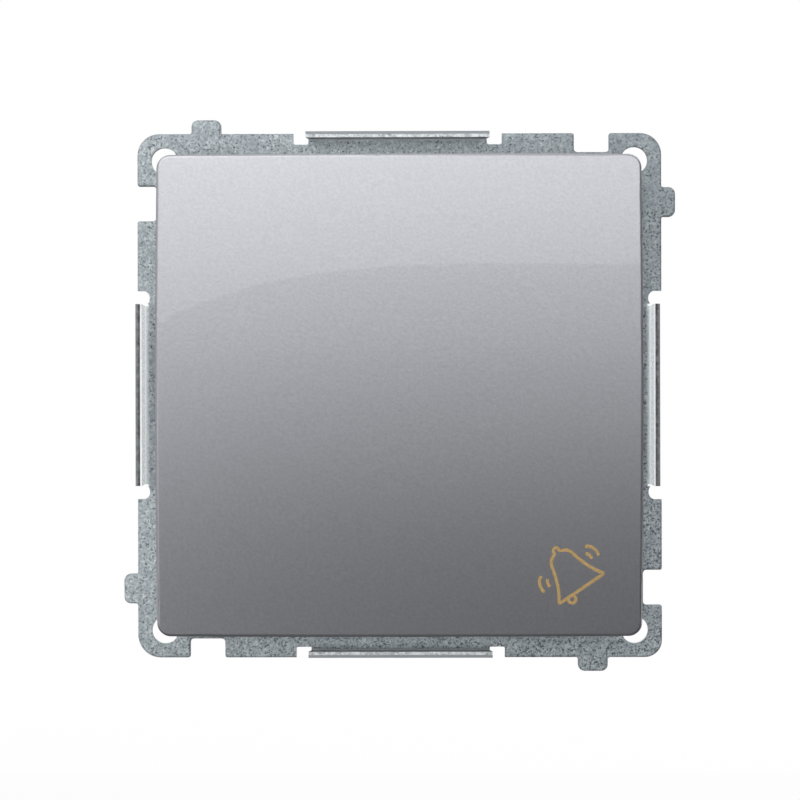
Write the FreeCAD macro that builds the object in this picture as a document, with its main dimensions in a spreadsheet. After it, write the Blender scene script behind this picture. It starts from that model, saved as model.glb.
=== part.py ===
# Flush bell push for a wall box: steel mounting plate, push rocker with a square key,
# one normally open contact behind the plate and two spreading claws.
# X runs to the right, Y into the wall and Z up. The origin is the middle of the plate on
# the wall's surface. "Front" distances are measured from there towards the room, along -Y.
import FreeCAD, Part
import math
import os
from types import SimpleNamespace

import Sketcher
from FreeCAD import Placement, Rotation, Vector

os.makedirs("parts", exist_ok=True)
doc = FreeCAD.newDocument("BellPush")

# Driving sizes in millimetres and degrees
SIZES = {
    # Mounting plate
    "plate_size": 70.6,
    "plate_thickness": 0.8,
    "corner_top": 2.9,
    "corner_right": 2.9,
    "corner_bottom": 2.3,
    "corner_left": 3.1,
    "edge_roll": 0.3,
    "tab_place": 26.0,
    "tab_width": 4.0,
    "tab_reach": 1.86,
    "notch_place": 25.9,
    "notch_width": 4.7,
    "notch_depth": 2.55,
    "relief_inner": 12.0,
    "relief_outer": 14.05,
    "relief_depth_top": 1.5,
    "relief_depth_right": 1.8,
    "relief_depth_bottom": 1.45,
    "relief_depth_left": 1.65,
    "relief_round_level": 0.3,
    "relief_round_upright": 0.95,
    "lip_inset_top": 0.0,
    "lip_inset_right": 0.7,
    "lip_inset_bottom": 0.25,
    "lip_inset_left": 0.25,
    "lip_bend": 0.4,
    "lip_tip_level": 24.6,
    "lip_tip_upright": 24.2,
    "lip_shift_top": -0.2,
    "lip_shift_right": 0.0,
    "lip_shift_bottom": -0.1,
    "lip_shift_left": 0.1,
    "lip_height_level": 2.0,
    "lip_height_upright": 3.5,
    "raised_size": 51.0,
    "raised_height": 0.6,
    "raised_corner": 6.0,
    "window_height": 29.0,
    "window_corner": 2.0,
    "corner_hole": 1.8,
    "corner_hole_pitch": 63.3,
    "box_screw_pitch": 60.0,
    "box_slot_half": 1.8,
    "box_slot_length": 5.0,
    # Contact housing behind the plate
    "base_width": 34.0,
    "base_height": 39.0,
    "base_depth": 20.5,
    "base_corner": 3.0,
    "base_edge": 1.0,
    "well_width": 24.0,
    "well_room_top": 1.0,
    "well_room_low": 1.2,
    "floor_thickness": 1.5,
    "chamber_width": 26.0,
    "chamber_depth": 9.0,
    "chamber_gap": 0.3,
    "cells_across": 4,
    "cell_wall": 1.5,
    "cell_depth": 7.5,
    "wire_entry": 1.7,
    "wire_funnel": 2.5,
    "ear_thickness": 2.0,
    "ear_rim": 2.0,
    # Front bearing frame and its screws
    "frame_thickness": 1.6,
    "frame_window_gap": 0.5,
    "frame_screw_inset_side": 2.6,
    "frame_screw_inset_end": 2.7,
    "screw_shank": 1.2,
    "screw_head": 2.3,
    "screw_head_height": 1.6,
    "screw_slot": 0.7,
    "frame_screw_length": 12.0,
    "post_thickness": 2.6,
    "post_edge": 0.2,
    "post_gap": 1.2,
    "post_half": 3.6,
    "axis_front": 4.7,
    "trunnion": 1.5,
    "bearing_clearance": 0.06,
    "stroke_angle": 3.5,
    # Push rocker
    "deck_front": 7.2,
    "deck_thickness": 1.8,
    "deck_inset_end": 4.5,
    "deck_corner": 3.5,
    "deck_rim": 1.2,
    "deck_rim_front": 8.5,
    "hub_width": 1.8,
    "hub_half": 3.4,
    "stop_gap": 0.3,
    "stop_rib": 1.4,
    "stop_half": 8.0,
    "stop_seat": 1.6,
    "nose_offset": 2.2,
    "nose_across": 4.0,
    "nose_width": 4.0,
    "nose_thickness": 2.0,
    # Key
    "key_width": 63.3,
    "key_height": 62.9,
    "key_corner": 1.8,
    "key_back": 3.4,
    "key_front": 11.0,
    "key_wall": 1.7,
    "key_edge": 0.45,
    "key_dome_across": 600.0,
    "key_dome_up": 300.0,
    "hook_inset_side": 4.1,
    "hook_inset_end": 4.5,
    "hook_width": 4.0,
    "hook_thickness": 1.4,
    "hook_barb": 0.5,
    "key_rib_place": 22.0,
    "key_rib_thickness": 0.9,
    "key_rib_depth": 4.0,
    "key_rib_sink": 0.35,
    # Contacts
    "strip_thickness": 0.8,
    "arm_thickness": 0.7,
    "arm_width": 5.0,
    "arm_pivot_up": 2.0,
    "arm_eye": 1.5,
    "contact_pin": 0.85,
    "contact_inset": 6.3,
    "contact_head": 1.5,
    "contact_head_height": 1.0,
    "contact_gap": 0.85,
    "strip_seat": 1.65,
    "tail_inset": 4.5,
    "contact_shank": 0.8,
    "pin_clearance": 0.05,
    # Springs
    "return_spring_across": -5.0,
    "return_spring_inset": 10.5,
    "return_coil": 2.5,
    "return_wire": 0.3,
    "return_turns": 7.0,
    "contact_spring_offset": 6.7,
    "contact_coil": 1.4,
    "contact_wire": 0.16,
    "contact_turns": 5.0,
    # Terminals
    "block_length": 25.0,
    "block_height": 6.0,
    "block_depth": 6.0,
    "block_inset": 8.5,
    "wire_bore": 1.3,
    "terminal_pitch": 18.0,
    "terminal_lift": 1.1,
    "terminal_shank_length": 3.4,
    # Claws
    "claw_screw_gap": 3.5,
    "claw_arm": 5.6,
    "claw_pivot_inset": 3.5,
    "claw_pin": 1.1,
    "claw_eye": 2.1,
    "claw_thickness": 1.2,
    "claw_width": 9.2,
    "claw_tooth_depth": 3.6,
    "claw_tooth_reach": 1.0,
    "claw_fork_clearance": 0.5,
    "claw_fork_gap": 0.35,
    "claw_screw_shank": 1.75,
    "claw_screw_head": 2.8,
    "claw_screw_head_height": 1.7,
    "claw_screw_inset": 0.2,
    "claw_slack": 0.3,
    "nut_round": 2.4,
    "nut_length": 6.0,
    "nut_back": 0.9,
}
mm = SimpleNamespace(**SIZES)

# Places that follow from the sizes
raised_front = mm.plate_thickness + mm.raised_height
frame_front = raised_front + mm.frame_thickness
half_width = mm.base_width / 2
half_height = mm.base_height / 2
well_depth = mm.base_depth - mm.chamber_depth - mm.floor_thickness
block_up = half_height - mm.block_inset
block_out = block_up + mm.block_height / 2
block_in = block_up - mm.block_height / 2
tail_out = block_out + mm.strip_thickness
tail_in = block_in - mm.strip_thickness
frame_screw_x = half_width - mm.frame_screw_inset_side
frame_screw_z = half_height - mm.frame_screw_inset_end
post_inner = half_width - mm.post_edge - mm.post_thickness
deck_width = 2 * (post_inner - mm.post_gap)
deck_height = 2 * (half_height - mm.deck_inset_end)
hook_across = deck_width / 2 - mm.hook_inset_side
hook_up = deck_height / 2 - mm.hook_inset_end
return_spring_up = mm.return_spring_inset - half_height
contact_place = half_height - mm.contact_inset
nose_place = contact_place - mm.nose_offset
contact_spring_up = mm.contact_spring_offset - contact_place
strip_back = well_depth - mm.strip_seat
strip_front = strip_back - mm.strip_thickness
arm_back = strip_front - 2 * mm.contact_head_height - mm.contact_gap
arm_front = arm_back - mm.arm_thickness
tail_back = mm.base_depth - mm.tail_inset
claw_screw_x = half_width + mm.claw_screw_gap
claw_pivot_x = claw_screw_x + mm.claw_arm
claw_pivot_y = mm.base_depth - mm.claw_pivot_inset
claw_fork_end = half_width + mm.claw_fork_clearance

sheet = doc.addObject("Spreadsheet::Sheet", "Sizes")
for row, (alias, value) in enumerate(SIZES.items(), 1):
    sheet.set(f"A{row}", alias)
    sheet.set(f"B{row}", str(value))
    sheet.setAlias(f"B{row}", alias)
doc.recompute()


# Sketching and feature helpers
def new_body(label):
    made = doc.addObject("PartDesign::Body", label)
    made.Label = label
    return made


def on_plane(body, role, offset="0"):
    """An empty sketch on one of the body's own origin planes, moved along its normal."""
    made = body.newObject("Sketcher::SketchObject", body.Name + "_sketch")
    plane = [item for item in body.Origin.OriginFeatures if item.Role == role][0]
    made.AttachmentSupport = [(plane, "")]
    made.MapMode = "FlatFace"
    made.setExpression("AttachmentOffset.Base.z", offset)
    return made


def from_front(body, offset="0"):
    """A sketch seen from the room: X to the right, Z up, lying a front distance before the wall."""
    return on_plane(body, "XZ_Plane", offset)


def loop(sketch, corners):
    """Straight sides joined by a tangent arc at each corner, given as x, y and radius."""
    ends = []
    for index, (x, y, radius) in enumerate(corners):
        here = Vector(x, y, 0)
        before = Vector(corners[index - 1][0], corners[index - 1][1], 0)
        following = corners[(index + 1) % len(corners)]
        after = Vector(following[0], following[1], 0)
        back = (before - here).normalize()
        onward = (after - here).normalize()
        if radius > 0:
            half = back.getAngle(onward) / 2
            reach = radius / math.tan(half)
            inward = (back + onward).normalize()
            middle = here + inward * (radius / math.sin(half) - radius)
            ends.append((here + back * reach, middle, here + onward * reach))
        else:
            ends.append((here, None, here))
    for index, (start, middle, finish) in enumerate(ends):
        if middle is not None:
            sketch.addGeometry(Part.ArcOfCircle(start, middle, finish), False)
        target = ends[(index + 1) % len(ends)][0]
        if (target - finish).Length > 1e-6:
            sketch.addGeometry(Part.LineSegment(finish, target), False)
    sketch.detectMissingPointOnPointConstraints(1e-5)
    sketch.makeMissingPointOnPointCoincident()
    return sketch


def block(sketch, left, right, low, high, radius=0.0):
    return loop(
        sketch,
        [(left, low, radius), (right, low, radius), (right, high, radius), (left, high, radius)],
    )


def centred(sketch, width, height, radius=0.0, x=0.0, y=0.0):
    return block(sketch, x - width / 2, x + width / 2, y - height / 2, y + height / 2, radius)


def slot(sketch, x, y, half, length, along_x):
    """A round-ended slot about its middle."""
    reach = length / 2
    if along_x:
        return block(sketch, x - reach, x + reach, y - half, y + half, half - 1e-4)
    return block(sketch, x - half, x + half, y - reach, y + reach, half - 1e-4)


def ring(sketch, x, y, radius, expression=None):
    index = sketch.addGeometry(Part.Circle(Vector(x, y, 0), Vector(0, 0, 1), radius), False)
    if expression:
        number = sketch.addConstraint(Sketcher.Constraint("Radius", index, radius))
        sketch.setExpression(f"Constraints[{number}]", expression)
    return sketch


def pad(body, sketch, length, both=False, back=False):
    made = body.newObject("PartDesign::Pad", body.Name + "_pad")
    made.Profile = sketch
    made.setExpression("Length", length)
    made.Midplane = both
    made.Reversed = back
    return made


def pocket(body, sketch, length=None, both=False, back=False):
    made = body.newObject("PartDesign::Pocket", body.Name + "_pocket")
    made.Profile = sketch
    if length is None:
        made.Type = "ThroughAll"
    else:
        made.setExpression("Length", length)
    made.Midplane = both
    made.Reversed = back
    return made


def edges_where(feature, test):
    """Names of the feature's edges that pass a test."""
    doc.recompute()
    return [f"Edge{n}" for n, edge in enumerate(feature.Shape.Edges, 1) if test(edge)]


def round_edges(body, feature, radius, test, kind="PartDesign::Fillet"):
    names = edges_where(feature, test)
    made = body.newObject(kind, body.Name + "_edges")
    made.Base = (feature, names)
    made.setExpression("Size" if kind.endswith("Chamfer") else "Radius", radius)
    return made


def at_front(edge, front):
    """True where the whole edge lies in one plane before the wall."""
    box = edge.BoundBox
    return abs(box.YMin + front) < 1e-4 and abs(box.YMax + front) < 1e-4


def group(label, source, places):
    """Copies of one piece as separate solids under one name."""
    links = []
    for place in places:
        link = doc.addObject("App::Link", label + "_piece")
        link.LinkedObject = source
        link.Placement = place
        links.append(link)
    made = doc.addObject("Part::Compound", label)
    made.Label = label
    made.Links = links
    return made


nodes = []

# Mounting plate: blanked sheet with interlocking tabs and notches, four folded lips,
# a raised middle for the mechanism, and slots for the box screws
plate = new_body("mounting_plate")
half_plate = mm.plate_size / 2
plate_sides = (("top", "level"), ("right", "upright"), ("bottom", "level"), ("left", "upright"))


def lip_outer(side):
    """How far out a lip's outer face stands."""
    return half_plate - getattr(mm, "lip_inset_" + side)


def bend_start(side):
    return lip_outer(side) - mm.plate_thickness - mm.lip_bend


def quarter_turned(points, turn):
    """Points drawn for the top side, turned clockwise by quarter turns."""
    turned = Rotation(Vector(0, 0, 1), -90 * turn)
    placed = [(turned.multVec(Vector(x, y, 0)), radius) for x, y, radius in points]
    return [(point.x, point.y, radius) for point, radius in placed]


def side_outline(side):
    """One side from its left corner to the next, with its tab, lip neck and notch."""
    neck_left = -mm.relief_inner + getattr(mm, "lip_shift_" + side)
    neck_right = mm.relief_inner + getattr(mm, "lip_shift_" + side)
    tab_left = -mm.tab_place - mm.tab_width / 2
    tab_right = -mm.tab_place + mm.tab_width / 2
    notch_left = mm.notch_place - mm.notch_width / 2
    notch_right = mm.notch_place + mm.notch_width / 2
    return [
        (-half_plate, half_plate, getattr(mm, "corner_" + side)),
        (tab_left, half_plate, 0.3),
        (tab_left, half_plate + mm.tab_reach, 0.9),
        (tab_right, half_plate + mm.tab_reach, 0.9),
        (tab_right, half_plate, 0.3),
        (neck_left, half_plate, 0.0),
        (neck_left, bend_start(side), 0.0),
        (neck_right, bend_start(side), 0.0),
        (neck_right, half_plate, 0.0),
        (notch_left, half_plate, 0.3),
        (notch_left, half_plate - mm.notch_depth, 0.5),
        (notch_right, half_plate - mm.notch_depth, 0.5),
        (notch_right, half_plate, 0.3),
    ]


def at_lip(edge):
    """True for edges where a lip joins the sheet, which stay sharp."""
    box = edge.BoundBox
    across = max(abs(box.XMin), abs(box.XMax))
    up = max(abs(box.ZMin), abs(box.ZMax))
    return min(across, up) < (mm.relief_inner + mm.relief_outer) / 2


plate_outline = []
for turn, (side, run) in enumerate(plate_sides):
    plate_outline += quarter_turned(side_outline(side), turn)
plate_blank = pad(plate, loop(from_front(plate), plate_outline), "Sizes.plate_thickness")
plate_rolled = round_edges(
    plate,
    plate_blank,
    "Sizes.edge_roll",
    lambda edge: at_front(edge, mm.plate_thickness) and not at_lip(edge),
)
raised = centred(
    from_front(plate, "Sizes.plate_thickness"),
    mm.raised_size,
    mm.raised_size,
    mm.raised_corner,
)
pad(plate, raised, "Sizes.raised_height")
recess_size = mm.raised_size - 2 * mm.raised_height
recess = centred(from_front(plate), recess_size, recess_size, mm.raised_corner)
pocket(plate, recess, "Sizes.raised_height", back=True)

for turn, (side, run) in enumerate(plate_sides):
    outer = lip_outer(side)
    inner = outer - mm.plate_thickness
    root = bend_start(side)
    tip = mm.plate_thickness + getattr(mm, "lip_height_" + run)
    section = [
        (root - 0.9, 0.0, 0.0),
        (outer, 0.0, mm.lip_bend + mm.plate_thickness),
        (outer, tip, 0.0),
        (inner, tip, 0.0),
        (inner, mm.plate_thickness, mm.lip_bend),
        (root - 0.9, mm.plate_thickness, 0.0),
    ]
    sign = 1 if turn in (0, 1) else -1
    middle = getattr(mm, "lip_shift_" + side) * (1 if turn in (0, 3) else -1)
    half_tip = getattr(mm, "lip_tip_" + run) / 2
    if turn % 2 == 0:
        sketch = on_plane(plate, "YZ_Plane", str(middle))
        loop(sketch, [(-front, sign * out, radius) for out, front, radius in section])
    else:
        sketch = on_plane(plate, "XY_Plane", str(middle))
        loop(sketch, [(sign * out, -front, radius) for out, front, radius in section])
    pad(plate, sketch, "Sizes.lip_tip_" + run, both=True)
    # The lip widens from its neck to its cut edge
    for end in (-1, 1):
        neck = middle + end * mm.relief_inner
        wide = middle + end * (half_tip + 0.2)
        flare = [
            (neck, -0.2, 0.0),
            (neck, mm.plate_thickness + mm.lip_bend, 0.0),
            (middle + end * half_tip, tip - 0.3, 0.0),
            (wide, tip, 0.0),
            (wide, -0.2, 0.0),
        ]
        if turn % 2 == 0:
            cut = on_plane(plate, "XY_Plane", str(sign * outer + 0.1 * sign))
            loop(cut, [(along, -front, radius) for along, front, radius in flare])
        else:
            cut = on_plane(plate, "YZ_Plane", str(sign * outer + 0.1 * sign))
            loop(cut, [(-front, along, radius) for along, front, radius in flare])
        pocket(plate, cut, str(outer + 0.1 - root), back=sign < 0)

# Relief cuts at both ends of each lip, square-cornered above and below, round-ended at the sides
reliefs = from_front(plate)
for turn, (side, run) in enumerate(plate_sides):
    floor = half_plate - getattr(mm, "relief_depth_" + side)
    rounding = getattr(mm, "relief_round_" + run)
    for end in (-1, 1):
        inner = end * mm.relief_inner + getattr(mm, "lip_shift_" + side)
        outer = end * mm.relief_outer + getattr(mm, "lip_shift_" + side)
        relief = [
            (inner, floor, rounding),
            (outer, floor, rounding),
            (outer, half_plate + 1, 0.0),
            (inner, half_plate + 1, 0.0),
        ]
        loop(reliefs, quarter_turned(relief, turn))
pocket(plate, reliefs, "Sizes.plate_thickness + Sizes.lip_bend", back=True)

openings = from_front(plate)
centred(openings, mm.well_width, mm.window_height, mm.window_corner)
for across in (-1, 1):
    for up in (-1, 1):
        corner = mm.corner_hole_pitch / 2
        ring(openings, across * corner, up * corner, mm.corner_hole, "Sizes.corner_hole")
        ring(
            openings,
            across * frame_screw_x,
            up * frame_screw_z,
            mm.screw_shank + mm.claw_slack,
            "Sizes.screw_shank + Sizes.claw_slack",
        )
    ring(
        openings,
        across * claw_screw_x,
        0,
        mm.claw_screw_shank + mm.claw_slack,
        "Sizes.claw_screw_shank + Sizes.claw_slack",
    )
    pitch = across * mm.box_screw_pitch / 2
    slot(openings, pitch, 0, mm.box_slot_half, mm.box_slot_length, True)
    slot(openings, 0, pitch, mm.box_slot_half, mm.box_slot_length, False)
pocket(plate, openings, both=True)
nodes.append(plate)

# Contact housing: a moulded block with a contact well in front, two terminal chambers at
# the back, wire entries above and below, and ears for the claws
base = new_body("base_housing")
back = "-Sizes.base_depth"
seat_front = mm.raised_height
base_block = pad(
    base,
    centred(from_front(base, back), mm.base_width, mm.base_height, mm.base_corner),
    "Sizes.base_depth + Sizes.raised_height",
)
round_edges(
    base,
    base_block,
    "Sizes.base_edge",
    lambda edge: at_front(edge, -mm.base_depth),
    "PartDesign::Chamfer",
)
ear_out = claw_pivot_x + mm.ear_rim
ear_front = -claw_pivot_y + mm.claw_eye + 0.8
ear_back = -claw_pivot_y - mm.claw_eye - 0.2
ear_inner = mm.claw_width / 2 + mm.claw_fork_gap
for offset in (ear_inner, -ear_inner - mm.ear_thickness):
    ears = on_plane(base, "XY_Plane", str(offset))
    for side in (-1, 1):
        loop(
            ears,
            [
                (side * (mm.base_width / 2 - 1), -ear_front - 1.5, 0.0),
                (side * ear_out, -ear_front, mm.ear_rim * 0.9),
                (side * ear_out, -ear_back, mm.ear_rim * 0.9),
                (side * (mm.base_width / 2 - 1), -ear_back, 0.0),
            ],
        )
    pad(base, ears, "Sizes.ear_thickness")
pin_holes = on_plane(base, "XY_Plane")
for side in (-1, 1):
    ring(pin_holes, side * claw_pivot_x, claw_pivot_y, mm.claw_pin + 0.02)
pocket(base, pin_holes, both=True)

well = from_front(base, "Sizes.raised_height")
block(
    well,
    -mm.well_width / 2,
    mm.well_width / 2,
    -tail_out - mm.well_room_low,
    block_in + mm.well_room_top,
    1.5,
)
pocket(base, well, str(well_depth + mm.raised_height))

arm_left = mm.nose_across - mm.arm_width / 2
arm_right = mm.nose_across + mm.arm_width / 2
pillar = from_front(base, str(-well_depth))
block(pillar, arm_left - 0.5, arm_right + 0.5, -block_out + 0.4, -contact_place + 1.7, 0.3)
pad(base, pillar, str(well_depth - strip_back))
pegs = from_front(base, str(-well_depth))
ring(pegs, mm.return_spring_across, return_spring_up, mm.return_coil - 0.6)
pad(base, pegs, "2")
small_peg = from_front(base, str(-well_depth))
ring(small_peg, mm.nose_across, contact_spring_up, mm.contact_coil - 0.45)
pad(base, small_peg, "1.2")

chambers = from_front(base, back)
half_chamber = mm.chamber_width / 2
gap = mm.chamber_gap
block(chambers, -half_chamber, half_chamber, tail_in - gap, block_out + gap, 0.5)
block(chambers, -half_chamber, half_chamber, -tail_out - gap, -block_in + gap, 0.5)
pocket(base, chambers, "Sizes.chamber_depth", back=True)
# Cored-out cells between the chambers keep the moulding's walls even
core = from_front(base, back)
core_low = -block_in + mm.chamber_gap + mm.cell_wall
core_high = tail_in - mm.chamber_gap - mm.cell_wall
cell_width = (mm.chamber_width - (mm.cells_across - 1) * mm.cell_wall) / mm.cells_across
cell_height = (core_high - core_low - mm.cell_wall) / 2
for column in range(mm.cells_across):
    for row in range(2):
        left = -half_chamber + column * (cell_width + mm.cell_wall)
        low = core_low + row * (cell_height + mm.cell_wall)
        block(core, left, left + cell_width, low, low + cell_height, 0.8)
pocket(base, core, "Sizes.cell_depth", back=True)
tails = from_front(base, back)
block(tails, arm_left - 0.6, arm_right + 0.6, tail_in - 0.2, block_in + 0.2)
block(tails, arm_left - 0.2, arm_right + 0.2, -tail_out - 0.2, -block_out + 0.2)
pocket(base, tails, str(mm.base_depth - well_depth + 0.5), back=True)

wire_depth = well_depth + mm.floor_thickness + mm.wire_bore + 1.0
for side in (-1, 1):
    for radius, reach in ((mm.wire_entry, mm.base_height / 2 - block_up), (mm.wire_funnel, 1.4)):
        entry = on_plane(base, "XY_Plane", str(side * mm.base_height / 2))
        for across in (-1, 1):
            ring(entry, across * mm.terminal_pitch / 2, wire_depth, radius)
        pocket(base, entry, str(reach), back=side < 0)

pilots = from_front(base, "Sizes.raised_height")
for across in (-1, 1):
    for up in (-1, 1):
        ring(
            pilots,
            across * frame_screw_x,
            up * frame_screw_z,
            mm.screw_shank + mm.pin_clearance,
            "Sizes.screw_shank + Sizes.pin_clearance",
        )
pocket(base, pilots, "Sizes.frame_screw_length")
nodes.append(base)

# Bearing frame: a moulding on the plate's front with two snap-in bearings
frame = new_body("bearing_frame")
frame_back = "Sizes.plate_thickness + Sizes.raised_height"
rim = centred(from_front(frame, frame_back), mm.base_width, mm.base_height, mm.base_corner)
window_width = deck_width + 2 * mm.frame_window_gap
window_height = deck_height - 2 * mm.stop_seat
centred(rim, window_width, window_height, 1.0)
for across in (-1, 1):
    for up in (-1, 1):
        ring(
            rim,
            across * frame_screw_x,
            up * frame_screw_z,
            mm.screw_shank + mm.claw_slack,
            "Sizes.screw_shank + Sizes.claw_slack",
        )
pad(frame, rim, "Sizes.frame_thickness")
post_top = mm.axis_front + 1.8
for start in (post_inner, -post_inner - mm.post_thickness):
    post = on_plane(frame, "YZ_Plane", str(start))
    throat = mm.trunnion * 0.86
    bearing = mm.trunnion + mm.bearing_clearance
    drop = math.sqrt(bearing**2 - throat**2)
    sketch = post
    outline = [
        Vector(-frame_front + 0.4, mm.post_half, 0),
        Vector(-post_top, mm.post_half - 0.8, 0),
        Vector(-post_top, throat + 0.5, 0),
        Vector(-mm.axis_front - drop, throat, 0),
    ]
    lower = [Vector(point.x, -point.y, 0) for point in reversed(outline)]
    for first, second in zip(outline, outline[1:]):
        sketch.addGeometry(Part.LineSegment(first, second), False)
    seat = Vector(-mm.axis_front + bearing, 0, 0)
    sketch.addGeometry(Part.ArcOfCircle(outline[-1], seat, lower[0]), False)
    for first, second in zip(lower, lower[1:]):
        sketch.addGeometry(Part.LineSegment(first, second), False)
    sketch.addGeometry(Part.LineSegment(lower[-1], outline[0]), False)
    pad(frame, sketch, "Sizes.post_thickness")
nodes.append(frame)

# Frame screws: pan heads with a straight slot, tapping into the housing


def screw_profile(sketch, head_radius, head_height, shank_radius, shank_length):
    """Half a screw beside its axis, which is the sketch's upright: the head's seat at zero."""
    loop(
        sketch,
        [
            (0, -head_height, 0.0),
            (head_radius, -head_height, head_height * 0.5),
            (head_radius, 0, 0.0),
            (shank_radius, 0, 0.0),
            (shank_radius, shank_length - shank_radius * 0.5, 0.0),
            (shank_radius * 0.5, shank_length, 0.0),
            (0, shank_length, 0.0),
        ],
    )


def turned(body, sketch, angle=360.0):
    made = body.newObject("PartDesign::Revolution", body.Name + "_turned")
    made.Profile = sketch
    made.ReferenceAxis = (sketch, ["V_Axis"])
    made.Angle = angle
    return made


def slotted_screw(body, head_radius, head_height, shank_radius, shank_length):
    profile = on_plane(body, "XY_Plane")
    screw_profile(profile, head_radius, head_height, shank_radius, shank_length)
    turned(body, profile)
    cut = from_front(body, str(head_height))
    centred(cut, 2 * head_radius + 1, mm.screw_slot)
    pocket(body, cut, str(head_height * 0.5))
    return body


frame_screw = new_body("frame_screw_single")
slotted_screw(
    frame_screw,
    mm.screw_head,
    mm.screw_head_height,
    mm.screw_shank,
    mm.frame_screw_length,
)
frame_screw_places = [
    Placement(
        Vector(across * frame_screw_x, -frame_front, up * frame_screw_z),
        Rotation(Vector(0, 1, 0), 35 * across + 20 * up),
    )
    for across in (-1, 1)
    for up in (-1, 1)
]
nodes.append(group("frame_screws", frame_screw, frame_screw_places))

# Push rocker: a deck with trunnions, a nose that works the contact, and stops
rocker = new_body("push_rocker")
deck_back = mm.deck_front - mm.deck_thickness
deck = centred(
    from_front(rocker, "Sizes.deck_front - Sizes.deck_thickness"),
    deck_width,
    deck_height,
    mm.deck_corner,
)
hook_window = (mm.hook_thickness + mm.hook_barb + 0.4, mm.hook_width + 0.4)
hook_middle = hook_across + mm.hook_barb / 2
for across in (-1, 1):
    for up in (-1, 1):
        centred(deck, *hook_window, 0.0, across * hook_middle, up * hook_up)
pad(rocker, deck, "Sizes.deck_thickness")
rim = from_front(rocker, "Sizes.deck_front")
centred(rim, deck_width, deck_height, mm.deck_corner)
centred(
    rim,
    deck_width - 2 * mm.deck_rim,
    deck_height - 2 * mm.deck_rim,
    mm.deck_corner - mm.deck_rim,
)
pad(rocker, rim, "Sizes.deck_rim_front - Sizes.deck_front")
hub_back = mm.axis_front - mm.trunnion - 0.2
for start in (deck_width / 2 - mm.hub_width, -deck_width / 2):
    hub = on_plane(rocker, "YZ_Plane", str(start))
    block(hub, -deck_back - 0.3, -hub_back, -mm.hub_half, mm.hub_half, 0.6)
    pad(rocker, hub, "Sizes.hub_width")
trunnion_reach = post_inner + mm.post_thickness + 0.2 - deck_width / 2 + 0.5
for start in (deck_width / 2 - 0.5, -deck_width / 2 + 0.5 - trunnion_reach):
    trunnions = on_plane(rocker, "YZ_Plane", str(start))
    ring(trunnions, -mm.axis_front, 0, mm.trunnion, "Sizes.trunnion")
    pad(rocker, trunnions, str(trunnion_reach))
stroke = math.radians(mm.stroke_angle)
stop_arm = deck_height / 2
upper_stop = frame_front + mm.stop_gap
lower_stop = frame_front + stop_arm * math.sin(stroke) + 0.1
for low, high, stop_front in (
    (stop_arm - mm.stop_rib, stop_arm, upper_stop),
    (-stop_arm, -stop_arm + mm.stop_rib, lower_stop),
):
    stop = from_front(rocker, str(stop_front))
    block(stop, -mm.stop_half, mm.stop_half, low, high, 0.3)
    pad(rocker, stop, str(deck_back - stop_front + 0.2))
nose_tip = arm_front - mm.claw_slack
nose = on_plane(rocker, "YZ_Plane", "Sizes.nose_across")
nose_low = -nose_place - mm.nose_thickness / 2
nose_high = -nose_place + mm.nose_thickness / 2
loop(
    nose,
    [
        (-deck_back - 0.2, nose_low - 0.5, 0.0),
        (nose_tip, nose_low, mm.nose_thickness / 2 - 0.01),
        (nose_tip, nose_high, mm.nose_thickness / 2 - 0.01),
        (-deck_back - 0.2, nose_high + 0.5, 0.0),
    ],
)
pad(rocker, nose, "Sizes.nose_width", both=True)
peg = from_front(rocker, str(deck_back - 2.2))
ring(peg, mm.return_spring_across, return_spring_up, mm.return_coil - 0.6)
pad(rocker, peg, "2.4")
nodes.append(rocker)

# Key: a domed shell with a straight skirt, four snap hooks and stiffening ribs
key = new_body("key")
key_block = pad(
    key,
    centred(from_front(key, "Sizes.key_back"), mm.key_width, mm.key_height, mm.key_corner),
    "Sizes.key_front - Sizes.key_back + 1",
)


def dome_cut(body, front):
    """Cuts a barrel-shaped front: one radius across, another up and down."""
    sketch = on_plane(body, "XY_Plane")
    reach = mm.key_width
    sag = mm.key_dome_across - math.sqrt(mm.key_dome_across**2 - reach**2)
    far = -front - 4 * sag
    left = Vector(-reach, -front + sag, 0)
    right = Vector(reach, -front + sag, 0)
    sketch.addGeometry(Part.ArcOfCircle(left, Vector(0, -front, 0), right), False)
    sketch.addGeometry(Part.LineSegment(right, Vector(reach, far, 0)), False)
    sketch.addGeometry(Part.LineSegment(Vector(reach, far, 0), Vector(-reach, far, 0)), False)
    sketch.addGeometry(Part.LineSegment(Vector(-reach, far, 0), left), False)
    # The dome is swept about an axis along X, far behind the wall
    axis_at = -front + mm.key_dome_up
    axis = sketch.addGeometry(
        Part.LineSegment(Vector(-reach, axis_at, 0), Vector(reach, axis_at, 0)), True
    )
    sketch.detectMissingPointOnPointConstraints(1e-5)
    sketch.makeMissingPointOnPointCoincident()
    made = body.newObject("PartDesign::Groove", body.Name + "_dome")
    made.Profile = sketch
    made.ReferenceAxis = (sketch, ["Axis0"])
    made.Angle = 24
    made.Midplane = True
    return made


key_dome = dome_cut(key, mm.key_front)
doc.recompute()
rear_face = [
    f"Face{n}"
    for n, face in enumerate(key_dome.Shape.Faces, 1)
    if abs(face.BoundBox.YMin + mm.key_back) < 1e-4 and abs(face.BoundBox.YMax + mm.key_back) < 1e-4
]
key_shell = key.newObject("PartDesign::Thickness", "key_shell")
key_shell.Base = (key_dome, rear_face)
key_shell.setExpression("Value", "Sizes.key_wall")
key_shell.Reversed = True
key_shell.Join = "Arc"


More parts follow.
